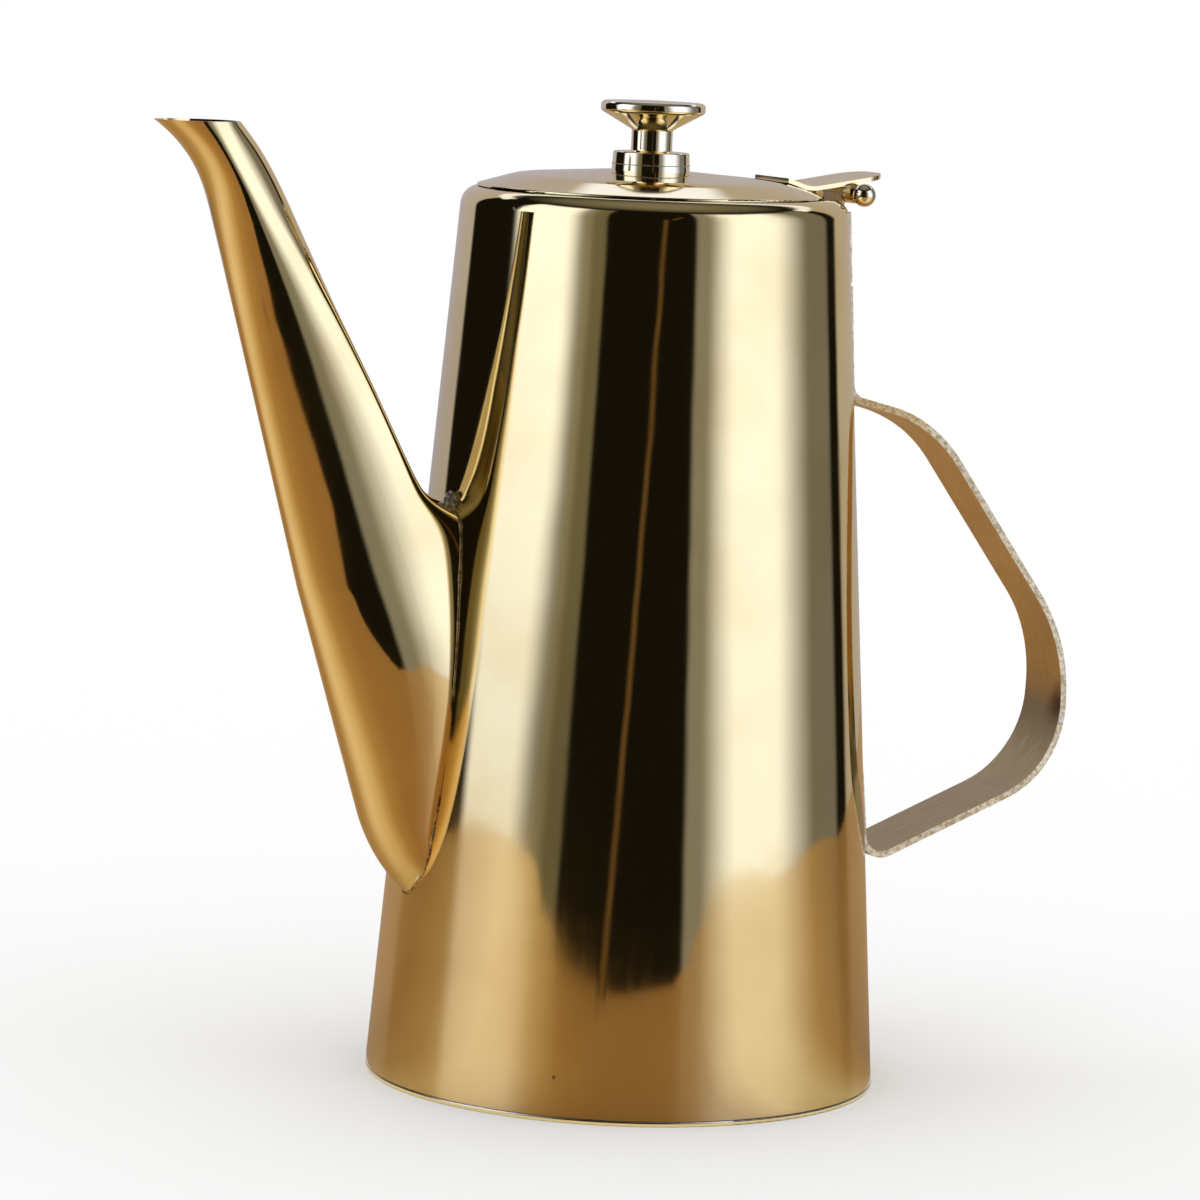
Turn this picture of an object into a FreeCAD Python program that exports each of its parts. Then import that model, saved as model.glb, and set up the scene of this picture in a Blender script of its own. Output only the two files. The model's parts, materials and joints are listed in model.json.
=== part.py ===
import FreeCAD, Part
import math
import os
import re
import Sketcher

# A long-spout coffee pot with a hinged lid, in millimetres.
# The origin is on the pot's axis, in the plane that it stands on; +Z is up and the handle points to +X.

SIZES = {
    # tapered body
    "base_radius": 57.7,
    "shoulder_radius": 43.25,
    "body_height": 200.4,
    "body_wall": 0.8,
    "shoulder_round": 4.3,
    "flange_width": 4.1,
    # pressed bottom
    "rim_height": 1.2,
    "rim_round": 0.4,
    "base_wall": 0.9,
    "rest_width": 6.5,
    "recess_height": 2.4,
    "upstand_height": 4.0,
    # spout
    "spout_wall": 0.8,
    "spout_height": 213.8,
    "spout_lip_length": 20.2,
    "spout_front_flick": 8.1,
    "spout_back_flick": 2.8,
    "spout_knee_height": 112.0,
    "spout_knee_stand_off": 33.4,
    "spout_crotch_height": 119.8,
    "spout_front_angle": 15.8,
    "spout_back_angle": 27.5,
    "spout_foot_angle": 18.1,
    "spout_foot_height": 62.0,
    "spout_toe_round": 43.0,
    "spout_crotch_round": 15.0,
    "spout_lip_half_width": 7.5,
    "spout_bend_half_width": 7.5,
    "spout_knee_half_width": 8.9,
    "spout_root_half_width": 11.2,
    # strainer behind the spout
    "strainer_hole": 4.0,
    "strainer_rows": 6.0,
    "strainer_pitch": 8.0,
    "strainer_spread": 6.4,
    "strainer_low_height": 62.0,
    # handle strap
    "strap_width": 18.4,
    "strap_waist_width": 14.0,
    "waist_height": 127.0,
    "waist_length": 44.0,
    "waist_round": 20.0,
    "strap_thickness": 1.5,
    "handle_top_height": 180.4,
    "handle_bend_height": 155.0,
    "handle_bend_round": 4.0,
    "handle_crest_reach": 70.4,
    "handle_crest_height": 149.2,
    "handle_crest_round": 33.0,
    "grip_reach": 107.9,
    "grip_lower_height": 68.3,
    "grip_length": 30.5,
    "handle_foot_height": 47.3,
    "handle_foot_round": 5.0,
    "handle_foot_spring": 1.5,
    "handle_tab_height": 77.6,
    "handle_tab_spring": 0.5,
    # hinge
    "pin_offset": 3.75,
    "pin_rise": 0.7,
    "pin_radius": 1.1,
    "pin_clearance": 0.05,
    "knuckle_radius": 2.1,
    "ball_radius": 2.6,
    "tongue_width": 8.6,
    "knuckle_gap": 0.3,
    "ear_width": 3.6,
    "leaf_width": 18.0,
    "leaf_thickness": 1.5,
    "leaf_top_height": 197.2,
    "leaf_bottom_height": 181.3,
    "lid_leaf_thickness": 1.0,
    "lid_leaf_front": 29.1,
    "lid_leaf_bend": 8.0,
    "thumb_angle": 9.5,
    "thumb_reach": 8.0,
    "thumb_round": 6.0,
    "thumb_flat": 2.0,
    # lid
    "lid_setback": 1.5,
    "lid_overlap": 3.75,
    "lid_wall": 0.7,
    "lid_edge_height": 0.4,
    "lid_edge_round": 0.3,
    "lid_rest_width": 1.3,
    "lid_bevel_width": 8.8,
    "lid_bevel_rise": 2.7,
    "lid_bend_round": 18.0,
    "lid_slope_rise": 1.5,
    "lid_flat_radius": 9.6,
    "lid_flat_round": 12.0,
    "skirt_clearance": 2.4,
    "skirt_wall": 0.6,
    "skirt_depth": 7.0,
    # knob
    "collar_radius": 8.5,
    "collar_flare": 0.25,
    "collar_height": 4.2,
    "collar_round": 0.35,
    "neck_radius": 4.6,
    "neck_height": 4.9,
    "neck_round": 0.5,
    "cap_radius": 11.7,
    "cap_flare": 4.0,
    "cap_rim": 2.2,
    "cap_crown": 0.4,
    "cap_round": 1.0,
    # fasteners under the lid
    "screw_radius": 2.0,
    "thread_clearance": 0.05,
    "hole_clearance": 0.25,
    "thread_depth": 7.0,
    "screw_head_radius": 3.8,
    "screw_head_height": 2.4,
    "screw_head_round": 0.8,
    "screw_slot_width": 1.0,
    "flat_washer_radius": 4.5,
    "flat_washer_thickness": 0.8,
    "spring_washer_radius": 3.5,
    "spring_washer_thickness": 1.0,
    # clearances between pieces that only touch
    "seam_gap": 0.05,
    "seat_gap": 0.1,
}

FULL_TURN = 360
SPRING_WASHER_TURN = 345
# The sketch's own origin, and the points of its lines and arcs
ORIGIN = -1
START = 1
END = 2
MIDDLE = 3

doc = FreeCAD.newDocument("coffee_pot")
sheet = doc.addObject("Spreadsheet::Sheet", "Sizes")
for row, (alias, number) in enumerate(SIZES.items(), start=1):
    sheet.set("A%d" % row, alias)
    sheet.set("B%d" % row, str(number))
    sheet.setAlias("B%d" % row, alias)
doc.recompute()


# Expressions over the sheet's sizes

def cell(text):
    """The expression with the sheet's name before each of its sizes."""
    return re.sub(r"\b(%s)\b" % "|".join(SIZES), r"Sizes.\1", text)


def value(text):
    """What the expression comes to with the sheet's present sizes."""
    return float(sheet.evalExpression(cell(text)))


def bind(thing, prop, text):
    """Tie one property of a document object to the sheet."""
    thing.setExpression(prop, cell(text))


def wall_radius(height):
    """Outer radius of the tapered wall at a height."""
    return "(base_radius - (base_radius - shoulder_radius) * (%s) / body_height)" % height


MOUTH_RADIUS = "(shoulder_radius - shoulder_round - flange_width)"
LID_RADIUS = "(%s + lid_overlap)" % MOUTH_RADIUS
LID_SEAT = "(body_height + seat_gap)"
BEVEL_RADIUS = "(%s - lid_bevel_width)" % LID_RADIUS
BEVEL_TOP = "(%s + lid_edge_height + lid_bevel_rise)" % LID_SEAT
BEVEL_SLOPE = "(lid_bevel_rise / lid_bevel_width)"
DOME_TOP = "(%s + lid_slope_rise)" % BEVEL_TOP
LID_X = "(-lid_setback)"
PIN_X = "(shoulder_radius + pin_offset)"
PIN_Z = "(body_height + pin_rise)"


def bevel_height(reach):
    """Height of the lid's bevel at a reach from the lid's middle."""
    return "(%s - (%s - %s) * %s)" % (BEVEL_TOP, reach, BEVEL_RADIUS, BEVEL_SLOPE)


# Sketches and features

def new_body(name):
    """A body that becomes the node of the same name."""
    body = doc.addObject("PartDesign::Body", name)
    body.Label = name
    return body


def new_lid_body(name):
    """A body that is turned about the lid's own axis, which is set back from the pot's."""
    body = new_body(name)
    bind(body, "Placement.Base.x", LID_X)
    return body


def new_sketch(body, name, plane, offset="0"):
    """A sketch on one of the body's own origin planes, moved along the plane's normal."""
    sketch = body.newObject("Sketcher::SketchObject", name)
    support = next(feature for feature in body.Origin.OriginFeatures if feature.Role == plane)
    sketch.AttachmentSupport = [(support, "")]
    sketch.MapMode = "FlatFace"
    bind(sketch, "AttachmentOffset.Base.z", offset)
    return sketch


def constrain(sketch, text, kind, *where):
    """Add one driving dimension to a sketch."""
    index = sketch.addConstraint(Sketcher.Constraint(kind, *where, value(text)))
    bind(sketch, "Constraints[%d]" % index, text)


def pin_point(sketch, geometry, end, corner):
    """Hold a point of a sketch at a corner's two coordinates."""
    constrain(sketch, corner[0], "DistanceX", ORIGIN, START, geometry, end)
    constrain(sketch, corner[1], "DistanceY", ORIGIN, START, geometry, end)


def add_circle(sketch, centre, radius):
    """A circle held at its centre and radius."""
    middle = FreeCAD.Vector(value(centre[0]), value(centre[1]), 0)
    circle = sketch.addGeometry(Part.Circle(middle, FreeCAD.Vector(0, 0, 1), value(radius)))
    pin_point(sketch, circle, MIDDLE, centre)
    constrain(sketch, radius, "Radius", circle)


def corner_arc(before, corner, after, radius):
    """The arc that rounds a corner, and which of its ends comes first along the outline."""
    back = (before - corner).normalize()
    ahead = (after - corner).normalize()
    half_angle = back.getAngle(ahead) / 2
    bisector = (back + ahead).normalize()
    centre = corner + bisector * (radius / math.sin(half_angle))
    reach = radius / math.tan(half_angle)
    entry = corner + back * reach
    leave = corner + ahead * reach
    entry_angle = math.atan2(entry.y - centre.y, entry.x - centre.x)
    leave_angle = math.atan2(leave.y - centre.y, leave.x - centre.x)
    circle = Part.Circle(centre, FreeCAD.Vector(0, 0, 1), radius)
    if back.cross(ahead).z < 0:
        return entry, leave, Part.ArcOfCircle(circle, entry_angle, leave_angle), START
    return entry, leave, Part.ArcOfCircle(circle, leave_angle, entry_angle), END


def outline(sketch, corners, closed=True):
    """Straight runs through the corners; a corner's third entry is the radius that rounds it."""
    count = len(corners)
    points = [FreeCAD.Vector(value(corner[0]), value(corner[1]), 0) for corner in corners]
    arcs = {}
    for i, corner in enumerate(corners):
        if len(corner) > 2:
            before = points[i - 1]
            after = points[(i + 1) % count]
            arcs[i] = corner_arc(before, points[i], after, value(corner[2]))
    lines = []
    for i in range(count if closed else count - 1):
        j = (i + 1) % count
        start = arcs[i][1] if i in arcs else points[i]
        end = arcs[j][0] if j in arcs else points[j]
        lines.append(sketch.addGeometry(Part.LineSegment(start, end)))
    for i, corner in enumerate(corners):
        first = not closed and i == 0
        last = not closed and i == count - 1
        if i in arcs:
            first_end = arcs[i][3]
            other_end = START if first_end == END else END
            arc = sketch.addGeometry(arcs[i][2])
            tip = sketch.addGeometry(Part.Point(points[i]), True)
            pin_point(sketch, tip, START, corner)
            sketch.addConstraint(Sketcher.Constraint("PointOnObject", tip, START, lines[i - 1]))
            sketch.addConstraint(Sketcher.Constraint("PointOnObject", tip, START, lines[i]))
            sketch.addConstraint(Sketcher.Constraint("Tangent", lines[i - 1], END, arc, first_end))
            sketch.addConstraint(Sketcher.Constraint("Tangent", arc, other_end, lines[i], START))
            constrain(sketch, corner[2], "Radius", arc)
        elif last:
            pin_point(sketch, lines[i - 1], END, corner)
        else:
            if not first:
                sketch.addConstraint(Sketcher.Constraint("Coincident", lines[i - 1], END, lines[i], START))
            pin_point(sketch, lines[i], START, corner)


def revolve(body, corners, turn=FULL_TURN):
    """Turn a closed outline in the XZ plane about the pot's axis."""
    sketch = new_sketch(body, body.Name + "_profile", "XZ_Plane")
    outline(sketch, corners)
    feature = body.newObject("PartDesign::Revolution", body.Name + "_turned")
    feature.Profile = sketch
    feature.ReferenceAxis = (sketch, ["V_Axis"])
    feature.Angle = turn
    doc.recompute()
    return feature


def pad(body, sketch, length):
    """A pad as far to one side of its sketch as to the other."""
    feature = body.newObject("PartDesign::Pad", sketch.Name + "_pad")
    feature.Profile = sketch
    feature.SideType = "Symmetric"
    bind(feature, "Length", length)
    doc.recompute()
    return feature


def pocket(body, sketch, length, symmetric=True):
    """A cut that has to take some of the body away."""
    before = body.Shape.Volume
    feature = body.newObject("PartDesign::Pocket", sketch.Name + "_pocket")
    feature.Profile = sketch
    feature.SideType = "Symmetric" if symmetric else "One side"
    bind(feature, "Length", length)
    doc.recompute()
    if not body.Shape.Volume < before:
        raise RuntimeError(sketch.Name + " cuts nothing")
    return feature


# Body and bottom

def make_body_shell():
    """The tapered wall, its turned-in shoulder and the strainer holes behind the spout."""
    body = new_body("body_shell")
    foot = "(rim_height + seam_gap)"
    inside_top = "(body_height - body_wall)"
    revolve(body, [
        (wall_radius(foot), foot),
        ("shoulder_radius", "body_height", "shoulder_round"),
        (MOUTH_RADIUS, "body_height"),
        (MOUTH_RADIUS, inside_top),
        ("%s - body_wall" % wall_radius(inside_top), inside_top, "shoulder_round - body_wall"),
        ("%s - body_wall" % wall_radius(foot), foot),
    ])
    holes = new_sketch(body, "strainer_holes", "YZ_Plane")
    for step in range(round(value("strainer_rows"))):
        height = "strainer_low_height + strainer_pitch * %d" % step
        for side in ("-strainer_spread / 2", "strainer_spread / 2"):
            add_circle(holes, (side, height), "strainer_hole / 2")
    pocket(body, holes, "2 * base_radius", symmetric=False)
    return body


def make_base_plate():
    """The pressed bottom: a folded rim, a flat ring that the pot stands on and a raised middle."""
    body = new_body("base_plate")
    upstand = "(%s - body_wall - seam_gap)" % wall_radius("upstand_height")
    ring_inner = "(base_radius - rest_width)"
    slope_inner = "(%s - recess_height)" % ring_inner
    recess_top = "(recess_height + base_wall)"
    revolve(body, [
        ("0", "recess_height"),
        (slope_inner, "recess_height"),
        (ring_inner, "0"),
        ("base_radius", "0", "rim_round"),
        ("base_radius", "rim_height", "rim_round"),
        (upstand, "rim_height"),
        (upstand, "upstand_height"),
        (upstand + " - base_wall", "upstand_height"),
        (upstand + " - base_wall", "base_wall"),
        (ring_inner + " + base_wall / 2", "base_wall"),
        (slope_inner + " + base_wall / 2", recess_top),
        ("0", recess_top),
    ])
    return body


# Spout

WALL_TAPER = "((base_radius - shoulder_radius) / body_height)"
SPOUT_BEND = "(spout_height - spout_lip_length)"
KNEE_FRONT = "(-%s - spout_knee_stand_off)" % wall_radius("spout_knee_height")
# Lean of the crotch's arc where it meets the wall
CROTCH_LEAN = 80
# Leans of the crotch's arc and of the toe's arc at the two ends of each section of the root
ROOT_LEANS = ((91, 60), (85, 47), (80, 33))
# Leans of the crotch's arc over the foot's low end, its middle and the knee
FOOT_LEANS = (76, 62, 45)
# Shares of the back's straight run and of the front's, at the two ends of each section of the shank
SHANK_SHARES = ((0, 0.15), (1 / 3, 0.43), (2 / 3, 0.72), (1, 1))
LIP_SHARES = (0.5, 0.8, 1)
FLICK_POWER = 3
ROUNDEST = 0.99
MIDWAY = 0.5
TIPPED = FreeCAD.Rotation(FreeCAD.Vector(0, -1, 0), 1)


def arc_run(radius, start_lean, lean):
    """How far an arc that heads down at one lean from upright goes sideways until another lean."""
    return "(%s * (cos(%s) - cos(%s)))" % (radius, start_lean, lean)


def arc_drop(radius, start_lean, lean):
    """How far that arc goes down."""
    return "(%s * (sin(%s) - sin(%s)))" % (radius, lean, start_lean)


CROTCH_RUN = arc_run("spout_crotch_round", "spout_back_angle", CROTCH_LEAN)
CROTCH_DROP = arc_drop("spout_crotch_round", "spout_back_angle", CROTCH_LEAN)
FLARE_HEIGHT = "(spout_crotch_height + (%s + %s * %s) / (tan(spout_back_angle) + %s))" % (
    CROTCH_RUN, WALL_TAPER, CROTCH_DROP, WALL_TAPER)


def between(low, high, share):
    """A size part of the way from one to another."""
    return "(%s + (%s - %s) * %s)" % (low, high, low, share)


def front_line(height):
    """Reach of the spout's front above its knee, where it is straight."""
    return "(%s - (%s - spout_knee_height) * tan(spout_front_angle))" % (KNEE_FRONT, height)


def foot_line(height):
    """Reach of the spout's front below its knee, down to the toe's arc."""
    return "(%s + (spout_knee_height - %s) * tan(spout_foot_angle))" % (KNEE_FRONT, height)


def back_line(height):
    """Reach of the spout's back, whose straight line meets the wall at the crotch."""
    return "(-%s - (%s - spout_crotch_height) * tan(spout_back_angle))" % (
        wall_radius("spout_crotch_height"), height)


def crotch_point(lean):
    """Point of the crotch's arc, which starts on the spout's back, where it has a lean."""
    return ("(%s + %s)" % (back_line(FLARE_HEIGHT), arc_run("spout_crotch_round", "spout_back_angle", lean)),
            "(%s - %s)" % (FLARE_HEIGHT, arc_drop("spout_crotch_round", "spout_back_angle", lean)))


def toe_point(lean):
    """Point of the toe's arc, which starts at the foot's low end, where it has a lean."""
    return ("(%s + %s)" % (foot_line("spout_foot_height"),
                           arc_run("spout_toe_round", "spout_foot_angle", lean)),
            "(spout_foot_height - %s)" % arc_drop("spout_toe_round", "spout_foot_angle", lean))


def spout_sections():
    """Sections of the spout from its root to its lip: a point of its back, one of its front, half width."""
    sections = []
    for crotch_lean, toe_lean in ROOT_LEANS:
        sections.append((crotch_point(crotch_lean), toe_point(toe_lean), "spout_root_half_width"))
    for step, lean in enumerate(FOOT_LEANS):
        share = step / (len(FOOT_LEANS) - 1)
        height = between("spout_foot_height", "spout_knee_height", share)
        half_width = between("spout_root_half_width", "spout_knee_half_width", share)
        sections.append((crotch_point(lean), (foot_line(height), height), half_width))
    for back_share, front_share in SHANK_SHARES:
        high = between(FLARE_HEIGHT, SPOUT_BEND, back_share)
        height = between("spout_knee_height", SPOUT_BEND, front_share)
        half_width = between("spout_knee_half_width", "spout_bend_half_width", front_share)
        sections.append(((back_line(high), high), (front_line(height), height), half_width))
    for share in LIP_SHARES:
        height = between(SPOUT_BEND, "spout_height", share)
        flick = share ** FLICK_POWER
        back = "(%s - spout_back_flick * %s)" % (back_line(height), flick)
        front = "(%s - spout_front_flick * %s)" % (front_line(height), flick)
        half_width = between("spout_bend_half_width", "spout_lip_half_width", share)
        sections.append(((back, height), (front, height), half_width))
    return sections


def spout_loft(body, kind, inset):
    """Loft the spout's sections, drawn in by an inset, into the body or out of it."""
    sketches = []
    for back, front, half_width in spout_sections():
        run = "(%s - %s)" % (back[0], front[0])
        rise = "(%s - %s)" % (back[1], front[1])
        height = between(front[1], back[1], MIDWAY)
        sketch = new_sketch(body, "%s_%d" % (kind, len(sketches)), "XY_Plane", height)
        sketch.AttachmentOffset = FreeCAD.Placement(FreeCAD.Vector(), TIPPED)
        bind(sketch, "AttachmentOffset.Base.x", between(front[0], back[0], MIDWAY))
        bind(sketch, "AttachmentOffset.Rotation.Angle", "atan2(%s; %s)" % (rise, run))
        major = "(sqrt(%s ^ 2 + %s ^ 2) / 2 - %s)" % (run, rise, inset)
        minor = "min(%s - %s; %s * %s)" % (half_width, inset, ROUNDEST, major)
        add_oval(sketch, major, minor)
        sketches.append(sketch)
    join_sections(body, kind, sketches)


def join_sections(body, kind, sketches):
    """Loft a row of sketches, and see that the body changes by it."""
    before = body.Shape.Volume if body.Tip else 0
    loft = body.newObject("PartDesign::" + kind, sketches[0].Name + "_loft")
    loft.Profile = sketches[0]
    loft.Sections = sketches[1:]
    loft.Refine = False
    doc.recompute()
    if body.Shape.Volume == before:
        raise RuntimeError(loft.Name + " changes nothing")


def add_oval(sketch, along, across):
    """An ellipse about the sketch's middle, as one smooth spline, which a loft of tipped sections needs."""
    along_end = FreeCAD.Vector(value(along), 0, 0)
    across_end = FreeCAD.Vector(0, value(across), 0)
    oval = sketch.addGeometry(Part.Ellipse(along_end, across_end, FreeCAD.Vector()).toBSpline())
    sketch.addConstraint(Sketcher.Constraint("Block", oval))


def make_spout():
    """The hollow spout, trimmed to the wall that it is welded to."""
    body = new_body("spout")
    spout_loft(body, "AdditiveLoft", "0")
    spout_loft(body, "SubtractiveLoft", "spout_wall")
    before = body.Shape.Volume
    trim = new_sketch(body, "wall_trim", "XZ_Plane")
    outline(trim, [
        ("0", "0"),
        ("base_radius + seam_gap", "0"),
        ("%s + seam_gap" % wall_radius("spout_height"), "spout_height"),
        ("0", "spout_height"),
    ])
    groove = body.newObject("PartDesign::Groove", "wall_cut")
    groove.Profile = trim
    groove.ReferenceAxis = (trim, ["V_Axis"])
    groove.Angle = FULL_TURN
    groove.Refine = False
    doc.recompute()
    if not body.Shape.Volume < before:
        raise RuntimeError("the spout isn't trimmed to the wall")
    return body


# Handle

GRIP_UPPER_SHARE = 0.41
GRIP_LOWER_SHARE = 0.53


def strap_reach(height):
    """Reach of the middle of a strap that lies on the wall at a height."""
    return "(%s + seam_gap + strap_thickness / 2)" % wall_radius(height)


def grip_round(share, rise, run):
    """Radius of a bend that takes a share of the upright grip, next to a run that falls by a rise."""
    return "(grip_length * %s / tan((90 deg - atan((%s) / (%s))) / 2))" % (share, rise, run)


def make_handle_strap():
    """One flat strap, bent out from the wall, round the grip and back to a tab that springs off the wall."""
    body = new_body("handle_strap")
    grip_top = "(grip_lower_height + grip_length)"
    foot_reach = "(%s + handle_foot_spring)" % strap_reach("handle_foot_height")
    tab_reach = "(%s + handle_tab_spring)" % strap_reach("handle_tab_height")
    upper_round = grip_round(GRIP_UPPER_SHARE, "handle_crest_height - %s" % grip_top,
                             "grip_reach - handle_crest_reach")
    lower_round = grip_round(GRIP_LOWER_SHARE, "grip_lower_height - handle_foot_height",
                             "grip_reach - %s" % foot_reach)
    path = new_sketch(body, "strap_path", "XZ_Plane")
    outline(path, [
        (strap_reach("handle_top_height"), "handle_top_height"),
        (strap_reach("handle_bend_height"), "handle_bend_height", "handle_bend_round"),
        ("handle_crest_reach", "handle_crest_height", "handle_crest_round"),
        ("grip_reach", grip_top, upper_round),
        ("grip_reach", "grip_lower_height", lower_round),
        (foot_reach, "handle_foot_height", "handle_foot_round"),
        (tab_reach, "handle_tab_height"),
    ], closed=False)
    section = new_sketch(body, "strap_section", "XY_Plane", "handle_top_height")
    middle = strap_reach("handle_top_height")
    outline(section, [
        (middle + " - strap_thickness / 2", "-strap_width / 2"),
        (middle + " + strap_thickness / 2", "-strap_width / 2"),
        (middle + " + strap_thickness / 2", "strap_width / 2"),
        (middle + " - strap_thickness / 2", "strap_width / 2"),
    ])
    pipe = body.newObject("PartDesign::AdditivePipe", "strap_bent")
    pipe.Profile = section
    pipe.Spine = (path, [])
    doc.recompute()
    sides = new_sketch(body, "strap_sides", "YZ_Plane")
    for side in ("-", ""):
        outline(sides, [
            (side + "strap_width", "handle_bend_height"),
            (side + "strap_width / 2", "handle_bend_height"),
            (side + "strap_waist_width / 2", "waist_height + waist_length / 2", "waist_round"),
            (side + "strap_waist_width / 2", "waist_height - waist_length / 2", "waist_round"),
            (side + "strap_width / 2", "grip_lower_height"),
            (side + "strap_width", "grip_lower_height"),
        ])
    pocket(body, sides, "2 * (grip_reach + strap_thickness)")
    return body


# Hinge

def make_hinge_body_leaf():
    """The leaf on the wall, with a tongue in its middle that is rolled round the pin."""
    body = new_body("hinge_body_leaf")

    def inner(height):
        return "(%s + seam_gap)" % wall_radius(height)

    leaf = new_sketch(body, "wall_leaf", "XZ_Plane")
    outline(leaf, [
        (inner("leaf_bottom_height"), "leaf_bottom_height"),
        (inner("leaf_bottom_height") + " + leaf_thickness", "leaf_bottom_height"),
        (inner("leaf_top_height") + " + leaf_thickness", "leaf_top_height"),
        (inner("leaf_top_height"), "leaf_top_height"),
    ])
    pad(body, leaf, "leaf_width")
    tongue_low = "(leaf_top_height - leaf_thickness)"
    tongue = new_sketch(body, "tongue", "XZ_Plane")
    outline(tongue, [
        (inner(tongue_low), tongue_low),
        (inner(tongue_low) + " + leaf_thickness", tongue_low),
        (inner("leaf_top_height") + " + leaf_thickness", "leaf_top_height"),
        (PIN_X, PIN_Z),
        (PIN_X + " - knuckle_radius", PIN_Z),
    ])
    pad(body, tongue, "tongue_width")
    roll = new_sketch(body, "tongue_roll", "XZ_Plane")
    add_circle(roll, (PIN_X, PIN_Z), "knuckle_radius")
    pad(body, roll, "tongue_width")
    bore = new_sketch(body, "tongue_bore", "XZ_Plane")
    add_circle(bore, (PIN_X, PIN_Z), "pin_radius + pin_clearance")
    pocket(body, bore, "2 * leaf_width")
    return body


def make_hinge_pin():
    """The pin, with a ball head at each end."""
    ball_middle = "(tongue_width / 2 + knuckle_gap + ear_width + knuckle_gap + ball_radius)"
    rod = doc.addObject("Part::Cylinder", "pin_rod")
    bind(rod, "Radius", "pin_radius")
    bind(rod, "Height", "2 * %s" % ball_middle)
    rod.Placement.Rotation = FreeCAD.Rotation(FreeCAD.Vector(1, 0, 0), 90)
    bind(rod, "Placement.Base.x", PIN_X)
    bind(rod, "Placement.Base.y", ball_middle)
    bind(rod, "Placement.Base.z", PIN_Z)
    pieces = [rod]
    for name, side in (("pin_near_ball", "-"), ("pin_far_ball", "")):
        ball = doc.addObject("Part::Sphere", name)
        bind(ball, "Radius", "ball_radius")
        bind(ball, "Placement.Base.x", PIN_X)
        bind(ball, "Placement.Base.y", side + ball_middle)
        bind(ball, "Placement.Base.z", PIN_Z)
        pieces.append(ball)
    pin = doc.addObject("Part::MultiFuse", "hinge_pin")
    pin.Shapes = pieces
    pin.Label = "hinge_pin"
    return pin


def make_hinge_lid_leaf():
    """The bent leaf on the lid: a strip on the bevel that rises into a thumb plate over two ears."""
    body = new_body("hinge_lid_leaf")
    width = "(tongue_width + 2 * knuckle_gap + 2 * ear_width)"
    thumb_slope = "tan(thumb_angle)"
    thumb_end = "(%s + thumb_reach)" % PIN_X
    plate_clear = "(knuckle_radius + knuckle_gap)"
    thumb_low = "(%s + %s / cos(thumb_angle))" % (PIN_Z, plate_clear)

    def strip_under(reach):
        return "(%s + seam_gap)" % bevel_height("(%s + lid_setback)" % reach)

    def thumb_under(reach):
        return "(%s + (%s - %s) * %s)" % (thumb_low, reach, PIN_X, thumb_slope)

    fold = "((%s - %s) / (%s + %s))" % (
        strip_under("0"), thumb_under("0"), BEVEL_SLOPE, thumb_slope)
    rise = "lid_leaf_thickness"
    plate = new_sketch(body, "lid_leaf_side", "XZ_Plane")
    outline(plate, [
        ("lid_leaf_front", strip_under("lid_leaf_front")),
        (fold, strip_under(fold), "lid_leaf_bend + lid_leaf_thickness"),
        (thumb_end, thumb_under(thumb_end)),
        (thumb_end, "%s + %s" % (thumb_under(thumb_end), rise)),
        (fold, "%s + %s" % (strip_under(fold), rise), "lid_leaf_bend"),
        ("lid_leaf_front", "%s + %s" % (strip_under("lid_leaf_front"), rise)),
    ])
    pad(body, plate, width)

    corners = new_sketch(body, "thumb_corners", "XY_Plane", "body_height")
    round_start = "(%s - 2 * thumb_round)" % thumb_end
    past_end = "(%s + thumb_round)" % thumb_end
    for side in ("-", ""):
        outline(corners, [
            (round_start, side + width + " / 2"),
            (thumb_end, side + width + " / 2", "thumb_round"),
            (thumb_end, side + "thumb_flat / 2"),
            (past_end, side + "thumb_flat / 2"),
            (past_end, side + width),
            (round_start, side + width),
        ])
    pocket(body, corners, "2 * body_height")

    ear_middle = "(tongue_width / 2 + knuckle_gap + ear_width / 2)"
    web_start = "(%s - knuckle_radius)" % PIN_X
    for name, side in (("near", ""), ("far", "-")):
        web = new_sketch(body, name + "_ear_web", "XZ_Plane", side + ear_middle)
        outline(web, [
            (web_start, PIN_Z),
            (PIN_X, PIN_Z),
            (PIN_X, "%s + lid_leaf_thickness / 2" % thumb_under(PIN_X)),
            (web_start, "%s + lid_leaf_thickness / 2" % thumb_under(web_start)),
        ])
        pad(body, web, "ear_width")
        roll = new_sketch(body, name + "_ear_roll", "XZ_Plane", side + ear_middle)
        add_circle(roll, (PIN_X, PIN_Z), "knuckle_radius")
        pad(body, roll, "ear_width")
    bore = new_sketch(body, "ear_bore", "XZ_Plane")
    add_circle(bore, (PIN_X, PIN_Z), "pin_radius + pin_clearance")
    pocket(body, bore, "2 * leaf_width")
    return body


# Lid

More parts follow.
